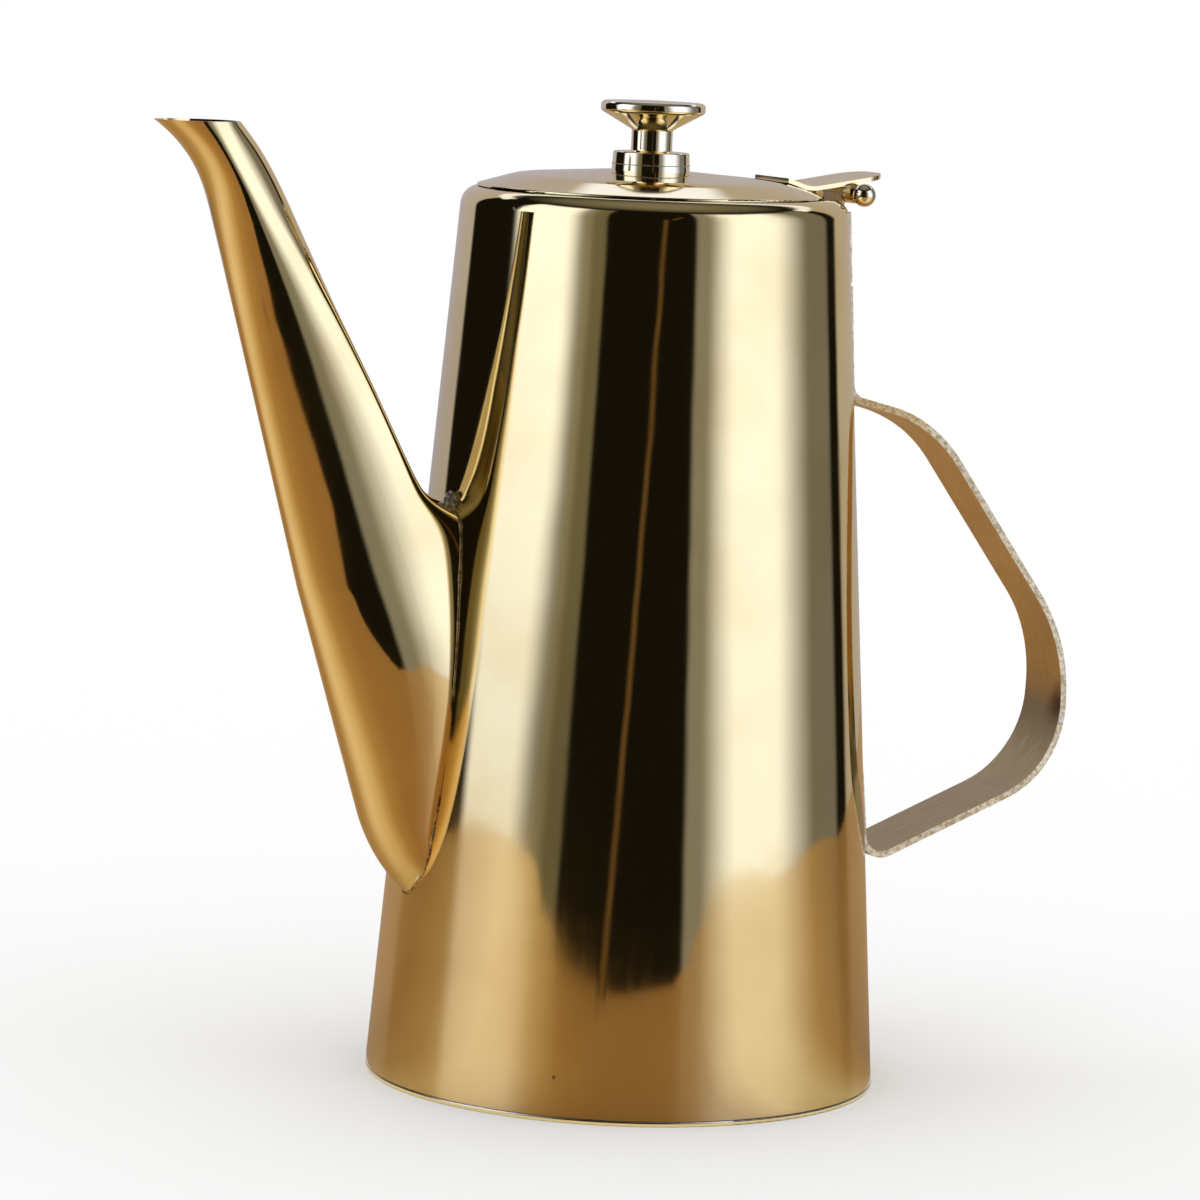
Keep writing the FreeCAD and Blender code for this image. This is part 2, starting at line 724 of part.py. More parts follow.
def make_lid_dome():
    """The pressed lid: a flat for the knob, a shallow cone, a steeper bevel and a thin edge."""
    body = new_lid_body("lid_dome")
    hole = "(screw_radius + hole_clearance)"
    edge_top = "(%s + lid_edge_height)" % LID_SEAT
    rest_inner = "(%s - lid_rest_width)" % LID_RADIUS
    revolve(body, [
        (hole, DOME_TOP),
        ("lid_flat_radius", DOME_TOP, "lid_flat_round"),
        (BEVEL_RADIUS, BEVEL_TOP, "lid_bend_round"),
        (LID_RADIUS, edge_top, "lid_edge_round"),
        (LID_RADIUS, LID_SEAT),
        (rest_inner, LID_SEAT),
        (rest_inner, "%s - lid_wall" % bevel_height(rest_inner)),
        (BEVEL_RADIUS, "%s - lid_wall" % BEVEL_TOP, "lid_bend_round - lid_wall"),
        ("lid_flat_radius", "%s - lid_wall" % DOME_TOP, "lid_flat_round - lid_wall"),
        (hole, "%s - lid_wall" % DOME_TOP),
    ])
    return body


def make_lid_skirt():
    """The ring under the lid that keeps it centred in the mouth."""
    body = new_lid_body("lid_skirt")
    outer = "(%s - skirt_clearance)" % MOUTH_RADIUS
    top = "(%s - lid_wall - seam_gap)" % bevel_height(outer)
    bottom = "(body_height - skirt_depth)"
    revolve(body, [
        (outer, bottom),
        (outer, top),
        (outer + " - skirt_wall", top),
        (outer + " - skirt_wall", bottom),
    ])
    return body


# Knob and its fasteners

COLLAR_TOP = "(%s + collar_height)" % DOME_TOP
NECK_TOP = "(%s + neck_height)" % COLLAR_TOP
RIM_LOW = "(%s + cap_flare)" % NECK_TOP
RIM_TOP = "(%s + cap_rim)" % RIM_LOW
UNDER_DOME = "(%s - lid_wall - seam_gap)" % DOME_TOP
FLAT_WASHER_LOW = "(%s - flat_washer_thickness)" % UNDER_DOME
HEAD_TOP = "(%s - spring_washer_thickness)" % FLAT_WASHER_LOW
SHANK_TOP = "(%s + thread_depth)" % DOME_TOP


def make_knob():
    """The turned knob: collar, neck and mushroom cap, with a blind hole for the screw."""
    body = new_lid_body("knob")
    hole_top = "(%s + seat_gap)" % SHANK_TOP
    revolve(body, [
        ("screw_radius + thread_clearance", DOME_TOP),
        ("collar_radius + collar_flare", DOME_TOP),
        ("collar_radius", COLLAR_TOP, "collar_round"),
        ("neck_radius", COLLAR_TOP, "neck_round"),
        ("neck_radius", NECK_TOP, "neck_round"),
        ("cap_radius", RIM_LOW, "cap_round"),
        ("cap_radius", RIM_TOP, "cap_round"),
        ("0", "%s + cap_crown" % RIM_TOP),
        ("0", hole_top),
        ("screw_radius + thread_clearance", hole_top),
    ])
    return body


def make_knob_screw():
    """The slotted screw that holds the knob from under the lid."""
    body = new_lid_body("knob_screw")
    head_low = "(%s - screw_head_height)" % HEAD_TOP
    revolve(body, [
        ("0", head_low),
        ("screw_head_radius", head_low, "screw_head_round"),
        ("screw_head_radius", HEAD_TOP),
        ("screw_radius", HEAD_TOP),
        ("screw_radius", SHANK_TOP),
        ("0", SHANK_TOP),
    ])
    slot = new_sketch(body, "screw_slot", "XZ_Plane")
    slot_top = "(%s + screw_head_height / 2)" % head_low
    outline(slot, [
        ("-screw_slot_width / 2", head_low),
        ("screw_slot_width / 2", head_low),
        ("screw_slot_width / 2", slot_top),
        ("-screw_slot_width / 2", slot_top),
    ])
    pocket(body, slot, "2 * (screw_head_radius + screw_slot_width)")
    return body


def make_washer(name, radius, low, high, turn):
    """A washer on the screw, whole or split."""
    body = new_lid_body(name)
    revolve(body, [
        ("screw_radius + thread_clearance", low),
        (radius, low),
        (radius, high),
        ("screw_radius + thread_clearance", high),
    ], turn)
    return body


def make_all():
    """Every node of the pot."""
    return [
        make_body_shell(),
        make_base_plate(),
        make_spout(),
        make_handle_strap(),
        make_hinge_body_leaf(),
        make_hinge_pin(),
        make_hinge_lid_leaf(),
        make_lid_dome(),
        make_lid_skirt(),
        make_knob(),
        make_knob_screw(),
        make_washer("screw_flat_washer", "flat_washer_radius", FLAT_WASHER_LOW, UNDER_DOME, FULL_TURN),
        make_washer("screw_spring_washer", "spring_washer_radius", HEAD_TOP, FLAT_WASHER_LOW,
                    SPRING_WASHER_TURN),
    ]


nodes = make_all()
doc.recompute()
for thing in doc.Objects:
    if "Invalid" in thing.State or "Error" in thing.State:
        raise RuntimeError("%s failed: %s" % (thing.Label, thing.State))
for node in nodes:
    if node.Shape.isNull() or not node.Shape.isValid() or not node.Shape.Solids:
        raise RuntimeError("%s has no valid solid" % node.Label)
os.makedirs("parts", exist_ok=True)
for node in nodes:
    node.Shape.exportStep("parts/%s.step" % node.Label)
    print("%-22s %10.1f mm3  solids %d" % (node.Label, node.Shape.Volume, len(node.Shape.Solids)))
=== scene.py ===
import json
import math

import bmesh
import bpy
import numpy as np
from mathutils import Matrix, Vector, noise


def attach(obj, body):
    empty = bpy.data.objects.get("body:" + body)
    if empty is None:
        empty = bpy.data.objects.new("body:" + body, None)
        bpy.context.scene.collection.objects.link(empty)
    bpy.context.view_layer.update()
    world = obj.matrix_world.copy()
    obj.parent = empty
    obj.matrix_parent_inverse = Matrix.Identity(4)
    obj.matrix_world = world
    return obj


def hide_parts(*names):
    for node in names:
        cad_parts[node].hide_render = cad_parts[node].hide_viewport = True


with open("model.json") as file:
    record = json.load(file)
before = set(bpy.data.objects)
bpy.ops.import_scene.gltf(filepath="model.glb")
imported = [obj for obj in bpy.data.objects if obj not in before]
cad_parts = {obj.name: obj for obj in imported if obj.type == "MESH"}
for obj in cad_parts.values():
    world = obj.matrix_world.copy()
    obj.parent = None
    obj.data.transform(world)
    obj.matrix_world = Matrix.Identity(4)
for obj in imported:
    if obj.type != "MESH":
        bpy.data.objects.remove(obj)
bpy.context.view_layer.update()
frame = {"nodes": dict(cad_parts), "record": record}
nodes = frame["nodes"]
scene = bpy.context.scene
scene.view_settings.view_transform = "Standard"

# Camera

CAMERA_AZIMUTH = math.radians(-26)
CAMERA_ELEVATION = math.radians(7)
CAMERA_ROLL = math.radians(2.42)
CAMERA_PLACE = Vector((-0.52985, -1.06674, 0.25424))
SENSOR_WIDTH = 36
LENS = 159.51

back = Vector((
    math.sin(CAMERA_AZIMUTH) * math.cos(CAMERA_ELEVATION),
    -math.cos(CAMERA_AZIMUTH) * math.cos(CAMERA_ELEVATION),
    math.sin(CAMERA_ELEVATION),
))
level_right = Vector((math.cos(CAMERA_AZIMUTH), math.sin(CAMERA_AZIMUTH), 0))
level_up = back.cross(level_right)
right = level_right * math.cos(CAMERA_ROLL) + level_up * math.sin(CAMERA_ROLL)
up = level_up * math.cos(CAMERA_ROLL) - level_right * math.sin(CAMERA_ROLL)

camera_data = bpy.data.cameras.new("photo_camera")
camera_data.sensor_width = SENSOR_WIDTH
camera_data.sensor_fit = "HORIZONTAL"
camera_data.lens = LENS
camera = bpy.data.objects.new("photo_camera", camera_data)
camera.matrix_world = Matrix((
    (right.x, up.x, back.x, CAMERA_PLACE.x),
    (right.y, up.y, back.y, CAMERA_PLACE.y),
    (right.z, up.z, back.z, CAMERA_PLACE.z),
    (0, 0, 0, 1),
))
scene.collection.objects.link(camera)
scene.camera = camera


# Helpers

def new_object(name, vertices, faces, material, smooth=True):
    """A mesh object in the scene."""
    mesh = bpy.data.meshes.new(name)
    mesh.from_pydata([tuple(v) for v in vertices], [], faces)
    mesh.polygons.foreach_set("use_smooth", [smooth] * len(mesh.polygons))
    mesh.materials.append(material)
    obj = bpy.data.objects.new(name, mesh)
    scene.collection.objects.link(obj)
    return obj


def grid_faces(rows, columns, start=0, wrap=True, flip=False):
    """Faces between rows of points, each row closed on itself or open."""
    faces = []
    for i in range(rows - 1):
        for j in range(columns if wrap else columns - 1):
            k = (j + 1) % columns
            low = start + i * columns
            face = (low + j, low + k, low + k + columns, low + j + columns)
            faces.append(face[::-1] if flip else face)
    return faces


def ease(low, high, value):
    """0 below one value, 1 above another and a smooth step between."""
    share = min(max((value - low) / (high - low), 0), 1)
    return share * share * (3 - 2 * share)


# Places of a mix node's two inputs and of its result
MIX_SOCKETS = {"FLOAT": (2, 3, 0), "RGBA": (6, 7, 2)}


class Nodes:
    """A material's node tree, built by short calls."""

    def __init__(self, name):
        self.material = bpy.data.materials.new(name)
        self.material.use_nodes = True
        self.tree = self.material.node_tree
        self.tree.nodes.clear()
        self.place = self.add("TexCoord").outputs["Object"]
        self.facing = self.place.node.outputs["Normal"]

    def add(self, kind, **settings):
        """A new node with its settings."""
        node = self.tree.nodes.new("ShaderNode" + kind)
        for key, setting in settings.items():
            setattr(node, key, setting)
        return node

    def link(self, source, target):
        """A wire from a socket, or a constant, to an input."""
        if isinstance(source, bpy.types.NodeSocket):
            self.tree.links.new(source, target)
        else:
            target.default_value = source

    def math(self, operation, *values):
        """One sum on numbers or sockets."""
        node = self.add("Math", operation=operation)
        for value, socket in zip(values, node.inputs):
            self.link(value, socket)
        return node.outputs[0]

    def split(self, vector):
        """The three numbers of a vector."""
        node = self.add("SeparateXYZ")
        self.link(vector, node.inputs[0])
        return node.outputs

    def stretched(self, x, y, z):
        """Object coordinates with a scale along each axis."""
        node = self.add("Mapping")
        self.link(self.place, node.inputs["Vector"])
        node.inputs["Scale"].default_value = (x, y, z)
        return node.outputs[0]

    def noise(self, scale, detail, vector=None, roughness=0.5):
        """Smooth noise between 0 and 1 with features about 1 / scale metres across."""
        node = self.add("TexNoise")
        self.link(vector or self.place, node.inputs["Vector"])
        node.inputs["Scale"].default_value = scale
        node.inputs["Detail"].default_value = detail
        node.inputs["Roughness"].default_value = roughness
        return node.outputs["Fac"]

    def streaks(self, scales, detail, roughness=0.5):
        """Smooth noise with its own scale along each axis."""
        return self.noise(1.0, detail, self.stretched(*scales), roughness)

    def ramp(self, value, low, high, to_low=0.0, to_high=1.0):
        """The value taken from one range to another, smoothly."""
        node = self.add("MapRange", interpolation_type="SMOOTHSTEP")
        for number, name in ((value, "Value"), (low, "From Min"), (high, "From Max"),
                             (to_low, "To Min"), (to_high, "To Max")):
            self.link(number, node.inputs[name])
        return node.outputs["Result"]

    def mix(self, share, first, second, kind="RGBA"):
        """A colour, or a number of the kind FLOAT, between two."""
        low, high, result = MIX_SOCKETS[kind]
        node = self.add("Mix", data_type=kind)
        self.link(share, node.inputs[0])
        self.link(first, node.inputs[low])
        self.link(second, node.inputs[high])
        return node.outputs[result]

    def bump(self, height, distance, normal=None):
        """A normal that leans with a height."""
        node = self.add("Bump")
        node.inputs["Distance"].default_value = distance
        self.link(height, node.inputs["Height"])
        if normal:
            self.link(normal, node.inputs["Normal"])
        return node.outputs[0]

    def finish(self, shader):
        """The material, with the shader on its surface."""
        output = self.add("OutputMaterial")
        self.link(shader.outputs[0], output.inputs["Surface"])
        return self.material


# Studio, which the pot reflects

# Elevations are seen from this height on the pot's axis
EYE_HEIGHT = 0.2
CEILING_TOP = 4.0
TABLE_INNER = 0.0590
TABLE_HEIGHT = 0.0004
DARK = (0.008, 0.007, 0.005)
CEILING = Vector((0.20, 0.19, 0.17))
COOL = (1.0, 1.10, 1.50)
PLAIN = (1.0, 1.0, 1.05)
WARM = (1.0, 0.94, 0.70)
ROSE = (1.0, 0.91, 0.86)
LILAC = (1.0, 0.95, 1.10)
BROWN = Vector((0.13, 0.075, 0.03))
# Lights round the pot: heading from the camera's side where each starts, is full, is full until and ends,
# its brightness and its tint
LIGHTS = (
    (-90, -82, -54, -38, 1.20, COOL),
    (-56, -44, -40, -33, 0.14, PLAIN),
    (-44, -36, -28.5, -26, 0.15, WARM),
    (22.5, 25.5, 34, 46, 0.24, PLAIN),
    (30, 49, 70, 100, 1.20, COOL),
    (80, 95, 115, 120, 0.18, PLAIN),
    (126, 131, 165, 195, 0.47, ROSE),
    (165, 195, 229, 232, 0.47, LILAC),
)
# Elevations between which the lights end and the ceiling starts, and the rows of the wall's points
LIGHT_TOP = (38, 46)
CEILING_EDGE = (46, 70)
WALL_HEIGHTS = (0.0, 0.05, 0.10, 0.15, 0.20, 0.25)
WALL_ELEVATIONS = (10, 20, 30, 34, 38, 40, 42, 44, 46, 60, 75)
# The dark stretch in front is wider near the table, where the lights are dimmer
LEFT_SPREAD = 0.15
RIGHT_SPREAD = 0.08
SPREAD_HEIGHT = 0.25
SPREAD_FADE = (50, 90)
LEFT_DIMMING = 0.22
RIGHT_DIMMING = 0.08
# Outline of the table: heading and reach in metres
TABLE = (
    (-180, 0.75), (-136, 0.75), (-113, 0.80), (-95, 0.95), (-84, 1.05), (-63, 1.50), (-47, 1.60),
    (-43, 1.45), (-39, 1.17), (-31, 0.86), (-22, 0.74), (-13, 0.67), (-4, 0.63), (14, 0.62), (22, 0.64),
    (31, 0.84), (40, 1.34), (61, 1.17), (91, 0.84), (118, 0.64), (136, 0.65), (180, 0.75),
)
# Colour of the table with painted light, paler under the lights, and painted shade, darker in front: heading
# and colour
TABLE_COLOUR_AND_PAINTED_LIGHT = (
    (-180, (0.50, 0.30, 0.12)), (-110, (0.44, 0.25, 0.09)), (-85, (0.55, 0.35, 0.15)),
    (-62, (0.78, 0.58, 0.33)), (-45, (0.74, 0.53, 0.27)), (-26, (0.52, 0.29, 0.09)),
    (-6, (0.42, 0.215, 0.065)), (20, (0.42, 0.215, 0.065)), (34, (0.45, 0.26, 0.09)),
    (50, (0.80, 0.66, 0.46)), (72, (0.80, 0.66, 0.46)), (95, (0.52, 0.31, 0.11)),
    (115, (0.36, 0.20, 0.07)), (180, (0.50, 0.30, 0.12)),
)
TABLE_ROUGHNESS = 0.42
TABLE_IOR = 1.6
HEADINGS = range(-180, 181)


def heading(degrees):
    """Level direction at an angle from the camera's side, to the picture's right."""
    angle = math.radians(degrees)
    toward = Vector((back.x, back.y, 0)).normalized()
    return toward * math.cos(angle) + level_right * math.sin(angle)


def reach(degrees):
    """How far the table goes at a heading."""
    return float(np.interp(degrees, [row[0] for row in TABLE], [row[1] for row in TABLE]))


def wall_glow(degrees, height, elevation):
    """Colour of the studio's wall at a heading, a height and an elevation seen from the pot."""
    glow = Vector(DARK)
    lowness = 1 - ease(0, SPREAD_HEIGHT, height)
    spread, dimming = (LEFT_SPREAD, LEFT_DIMMING) if degrees < 0 else (RIGHT_SPREAD, RIGHT_DIMMING)
    degrees *= 1 - spread * lowness * (1 - ease(*SPREAD_FADE, abs(degrees)))
    level = (1 - ease(*LIGHT_TOP, elevation)) * (1 - dimming * lowness)
    for start, full, until, end, brightness, tint in LIGHTS:
        for turned in (degrees, degrees + 360):
            share = ease(start, full, turned) * (1 - ease(until, end, turned))
            glow += Vector(tint) * brightness * share * level
    return glow + CEILING * ease(*CEILING_EDGE, elevation)


def glow_material(name):
    """A card that shines by its own colour layer."""
    tree = Nodes(name)
    colour = tree.add("VertexColor", layer_name="glow")
    shine = tree.add("Emission")
    tree.link(colour.outputs["Color"], shine.inputs["Color"])
    material = tree.finish(shine)
    material.cycles.emission_sampling = "NONE"
    return material


def reflected_only(obj):
    """A thing of the studio that shows in reflections and nowhere else."""
    obj.visible_camera = False
    obj.visible_diffuse = False
    obj.visible_shadow = False


def card(name, rows, glows, material=None):
    """A studio card of rows of points, each with a colour."""
    points = [point for row in rows for point in row]
    faces = grid_faces(len(rows), len(rows[0]), wrap=False)
    obj = new_object(name, points, faces, material or glow_material(name))
    layer = obj.data.color_attributes.new("glow", "FLOAT_COLOR", "POINT")
    for i, colour in enumerate([glow for row in glows for glow in row]):
        layer.data[i].color = (*colour, 1)
    reflected_only(obj)


def make_walls():
    """Walls that stand at the table's edge, and a dim ceiling."""
    rows = []
    glows = []
    for height in WALL_HEIGHTS:
        rows.append([heading(turn) * reach(turn) + Vector((0, 0, height)) for turn in HEADINGS])
        glows.append([wall_glow(turn, height, 0) for turn in HEADINGS])
    for elevation in WALL_ELEVATIONS:
        rise = math.tan(math.radians(elevation))
        rows.append([heading(turn) * reach(turn) + Vector((0, 0, EYE_HEIGHT + reach(turn) * rise))
                     for turn in HEADINGS])
        glows.append([wall_glow(turn, SPREAD_HEIGHT, elevation) for turn in HEADINGS])
    rows.append([Vector((0, 0, CEILING_TOP))] * len(HEADINGS))
    glows.append([CEILING] * len(HEADINGS))
    card("studio_wall", rows, glows)


# Lamp box behind the pot: its reach and headings, and the elevations and colours of its rows
REAR_LIGHT_REACH = 0.60
REAR_LIGHT_HEADINGS = range(120, 241, 4)
REAR_LIGHT = Vector((1.0, 1.10, 1.55)) * 1.05
REAR_WALL = Vector((0.47, 0.43, 0.42))
REAR_LIGHT_ROWS = ((33, REAR_WALL), (35.5, REAR_LIGHT), (40, REAR_LIGHT), (43, Vector(DARK)))


def make_rear_light():
    """A lamp box high behind the pot."""
    rows = []
    for elevation, glow in REAR_LIGHT_ROWS:
        height = EYE_HEIGHT + REAR_LIGHT_REACH * math.tan(math.radians(elevation))
        rows.append([heading(turn) * REAR_LIGHT_REACH + Vector((0, 0, height))
                     for turn in REAR_LIGHT_HEADINGS])
    glows = [[glow] * len(REAR_LIGHT_HEADINGS) for elevation, glow in REAR_LIGHT_ROWS]
    card("rear_light", rows, glows)


# Thin brown post that leans in front of the dark stretch: its reach, the headings of its foot and top, its
# height and its half width in degrees
POST_REACH = 0.55
POST_HEADINGS = (-9.0, 16.0)
POST_TOP = 0.40
POST_WIDTH = 2.0


def make_post():
    """The thin leaning post in front."""
    foot, top = POST_HEADINGS
    rows = []
    for turn, height in ((foot, 0.0), (top, POST_TOP)):
        rows.append([heading(turn + side * POST_WIDTH) * POST_REACH + Vector((0, 0, height))
                     for side in (-1, 0, 1)])
    card("post", rows, [[Vector(DARK), BROWN, Vector(DARK)]] * len(rows))


def make_table():
    """The glossy brown table, with painted light and painted shade in its colour."""
    tree = Nodes("table_varnish")
    shader = tree.add("BsdfPrincipled")
    # Colour layer of the table: its brown, with painted light under the lights and painted shade in front
    colour_and_painted_light = tree.add("VertexColor", layer_name="glow")
    tree.link(colour_and_painted_light.outputs["Color"], shader.inputs["Base Color"])
    shader.inputs["Roughness"].default_value = TABLE_ROUGHNESS
    shader.inputs["IOR"].default_value = TABLE_IOR
    lift = Vector((0, 0, TABLE_HEIGHT))
    rows = [[heading(turn) * TABLE_INNER + lift for turn in HEADINGS],
            [heading(turn) * reach(turn) + lift for turn in HEADINGS]]
    turned = [row[0] for row in TABLE_COLOUR_AND_PAINTED_LIGHT]
    colours = [[float(np.interp(turn, turned, [row[1][i] for row in TABLE_COLOUR_AND_PAINTED_LIGHT])) for i in range(3)]
               for turn in HEADINGS]
    card("table", rows, [colours, colours], tree.finish(shader))


make_walls()
make_rear_light()
make_post()
make_table()

FLOOR_HALF = 40.0
floor_nodes = Nodes("pale_floor")
floor_paint = floor_nodes.add("BsdfDiffuse")
floor_paint.inputs["Color"].default_value = (1, 1, 1, 1)
floor = new_object("floor", [(-FLOOR_HALF, -FLOOR_HALF, 0), (FLOOR_HALF, -FLOOR_HALF, 0),
                             (FLOOR_HALF, FLOOR_HALF, 0), (-FLOOR_HALF, FLOOR_HALF, 0)],
                   [(0, 1, 2, 3)], floor_nodes.finish(floor_paint))

world = bpy.data.worlds.new("soft_studio")
world.use_nodes = True
world.node_tree.nodes["Background"].inputs["Color"].default_value = (1, 1, 1, 1)
world.node_tree.nodes["Background"].inputs["Strength"].default_value = 1.0
scene.world = world


# Sizes of the pot that the looks follow, in metres

X_AXIS = 0
Z_AXIS = 2


def extent(node, axis):
    """Lowest and highest place of a node along an axis, with the part at rest."""
    places = [vertex.co[axis] for vertex in nodes[node].data.vertices]
    return min(places), max(places)


BASE_RADIUS = extent("base_plate", X_AXIS)[1]
SHOULDER_RADIUS = 0.04325
BODY_HEIGHT = extent("body_shell", Z_AXIS)[1]
BODY_WALL = 0.0008
WALL_TAPER = (BASE_RADIUS - SHOULDER_RADIUS) / BODY_HEIGHT


def wall_radius(height):
    """Outer radius of the tapered wall at a height."""
    return BASE_RADIUS - WALL_TAPER * height


# Materials

GOLD = (0.92, 0.755, 0.39, 1)
WORN_GOLD = (0.86, 0.68, 0.33, 1)
# Paler copy of the polished gold for the knob and hinge pin: painted highlight, brighter than the same gold
# on the pot
KNOB_GOLD_PAINTED_HIGHLIGHT = (0.96, 0.86, 0.60, 1)
KNOB_WORN_PAINTED_HIGHLIGHT = (0.92, 0.79, 0.50, 1)
SPECK = (0.20, 0.11, 0.04, 1)
# Marks on the polished coating: counts per metre, the stretches of noise that show them, depths in metres
SMEAR_SCALE = 38.0
SMEAR_WEAR = (0.42, 0.75)
SMEAR_DULLING = (0.35, 0.8, 0.035, 0.085)
DRAWN_SCALES = (900, 900, 14)
DRAWN_DULLING = (0.45, 0.8, 0.0, 0.018)
WAVE_SCALE = 42.0
WAVE_DEPTH = 0.00010
RIPPLE_SCALES = (260, 260, 9)
RIPPLE_DEPTH = 0.0000025
SPECK_SCALE = 55.0
SPECK_SIZES = (0.80, 1.0, 0.0, 0.032)
SPECK_DARKNESS = 0.75
SPECK_DULLING = 0.35


def gold_finish(tree, fresh=GOLD, worn=WORN_GOLD):
    """Polished gold coating: its colour, roughness and normal, with smears, polishing marks and specks."""
    smear = tree.noise(SMEAR_SCALE, detail=3.0)
    drawn = tree.streaks(DRAWN_SCALES, detail=4.0, roughness=0.6)
    wave = tree.noise(WAVE_SCALE, detail=1.0)
    ripple = tree.streaks(RIPPLE_SCALES, detail=2.0)
    spots = tree.add("TexVoronoi", feature="F1")
    spots.inputs["Scale"].default_value = SPECK_SCALE
    tree.link(tree.place, spots.inputs["Vector"])
    chance = tree.split(spots.outputs["Color"])[0]
    speck = tree.math("LESS_THAN", spots.outputs["Distance"], tree.ramp(chance, *SPECK_SIZES))
    colour = tree.mix(tree.ramp(smear, *SMEAR_WEAR), fresh, worn)
    colour = tree.mix(tree.math("MULTIPLY", speck, SPECK_DARKNESS), colour, SPECK)
    rough = tree.math("ADD", tree.ramp(smear, *SMEAR_DULLING), tree.ramp(drawn, *DRAWN_DULLING))
    rough = tree.math("ADD", rough, tree.math("MULTIPLY", speck, SPECK_DULLING))
    normal = tree.bump(wave, WAVE_DEPTH)
    normal = tree.bump(ripple, RIPPLE_DEPTH, normal)
    return colour, rough, normal


def metal(tree, colour, rough, normal):
    """The metal shader that ends each finish."""
    shader = tree.add("BsdfPrincipled")
    shader.inputs["Metallic"].default_value = 1
    tree.link(colour, shader.inputs["Base Color"])
    tree.link(rough, shader.inputs["Roughness"])
    tree.link(normal, shader.inputs["Normal"])
    return tree.finish(shader)


STEEL = (0.62, 0.61, 0.59, 1)
STEEL_DULL = (0.50, 0.49, 0.46, 1)
TURNED_SCALES = (60, 60, 2600)
TURNED_DULLING = (0.3, 0.7, 0.20, 0.34)
TURNED_DEPTH = 0.000012
PATCH_SCALE = 70.0
PATCH_COLOURING = (0.35, 0.75)
PATCH_DULLING = (0.5, 0.8, 0.0, 0.12)


def steel_finish(tree):
    """Plain brushed steel: its colour, roughness and normal, with rings from turning and dull patches."""
    lines = tree.streaks(TURNED_SCALES, detail=3.0)
    patch = tree.noise(PATCH_SCALE, detail=3.0)
    colour = tree.mix(tree.ramp(patch, *PATCH_COLOURING), STEEL, STEEL_DULL)
    rough = tree.math("ADD", tree.ramp(lines, *TURNED_DULLING), tree.ramp(patch, *PATCH_DULLING))
    return colour, rough, tree.bump(lines, TURNED_DEPTH)


def polished_gold(name, fresh=GOLD, worn=WORN_GOLD):
    """The polished coating as a material."""
    tree = Nodes(name)
    return metal(tree, *gold_finish(tree, fresh, worn))


def inner_steel():
    """The plain steel as a material."""
    tree = Nodes("inner_steel")
    return metal(tree, *steel_finish(tree))


def lined_gold(name, inside):
    """Polished gold outside and plain steel where the mask says inside."""
    tree = Nodes(name)
    gold_colour, gold_rough, gold_normal = gold_finish(tree)
    steel_colour, steel_rough = steel_finish(tree)[:2]
    mask = inside(tree)
    colour = tree.mix(mask, gold_colour, steel_colour)
    return metal(tree, colour, tree.mix(mask, gold_rough, steel_rough, "FLOAT"), gold_normal)


# Upward parts of the normal past which a face looks down or up
SHOULDER_DOWN = -0.5
SHEET_DOWN = -0.3
SHEET_UP = 0.3


def inside_body(tree):
    """1 on the inner face of the body's wall."""
    x, y, z = tree.split(tree.place)
    reach_out = tree.math("SQRT", tree.math("ADD", tree.math("MULTIPLY", x, x), tree.math("MULTIPLY", y, y)))
    wall = tree.math("SUBTRACT", BASE_RADIUS - BODY_WALL / 2, tree.math("MULTIPLY", z, WALL_TAPER))
    in_wall = tree.math("LESS_THAN", reach_out, wall)
    below_top = tree.math("LESS_THAN", z, BODY_HEIGHT - BODY_WALL / 2)
    nx, ny, nz = tree.split(tree.facing)
    outward = tree.math("ADD", tree.math("MULTIPLY", x, nx), tree.math("MULTIPLY", y, ny))
    inward = tree.math("LESS_THAN", outward, 0.0)
    down = tree.math("LESS_THAN", nz, SHOULDER_DOWN)
    turned = tree.math("MAXIMUM", inward, down)
    return tree.math("MULTIPLY", tree.math("MULTIPLY", in_wall, below_top), turned)


def faces_down(tree):
    """1 on faces that look down."""
    return tree.math("LESS_THAN", tree.split(tree.facing)[2], SHEET_DOWN)


def faces_up(tree):
    """1 on faces that look up."""
    return tree.math("GREATER_THAN", tree.split(tree.facing)[2], SHEET_UP)


EDGE_PALE = (0.83, 0.76, 0.55, 1)
EDGE_DARK = (0.58, 0.48, 0.29, 1)
STRAP_GOLD = (0.70, 0.54, 0.28, 1)
STRAP_WORN = (0.61, 0.47, 0.25, 1)
STRAP_LOW_DARK = (0.43, 0.33, 0.16, 1)
STRAP_STAIN = (0.16, 0.07, 0.02, 1)
# Marks on the satin coating: counts per metre, the stretches of noise that show them, places and depths in
# metres
STAIN_PLACE = (0.1062, -0.0072, 0.0830)
STAIN_FADE = (0.0005, 0.0065, 0.9, 0.0)
STAIN_EDGE = (0.2, 0.8, -0.002, 0.002)
# The strap is darker towards its bottom, below these heights
LOW_DARKENING = (0.060, 0.082, 0.75, 0.0)
EDGE_FACING = (0.55, 0.85)
EDGE_DULLING = 0.12
CLOUD_SCALE = 55.0
CLOUD_WEAR = (0.38, 0.72)
PIT_SCALE = 420.0
PIT_RANGE = (0.70, 0.78)
FLECK_SCALE = 950.0
FLECK_RANGE = (0.40, 0.62)
FLECK_DEPTH = 0.00025
BRUSHED_SCALES = (160, 1800, 160)
BRUSHED_DULLING = (0.3, 0.7, 0.26, 0.40)
BRUSHED_DEPTH = 0.000010


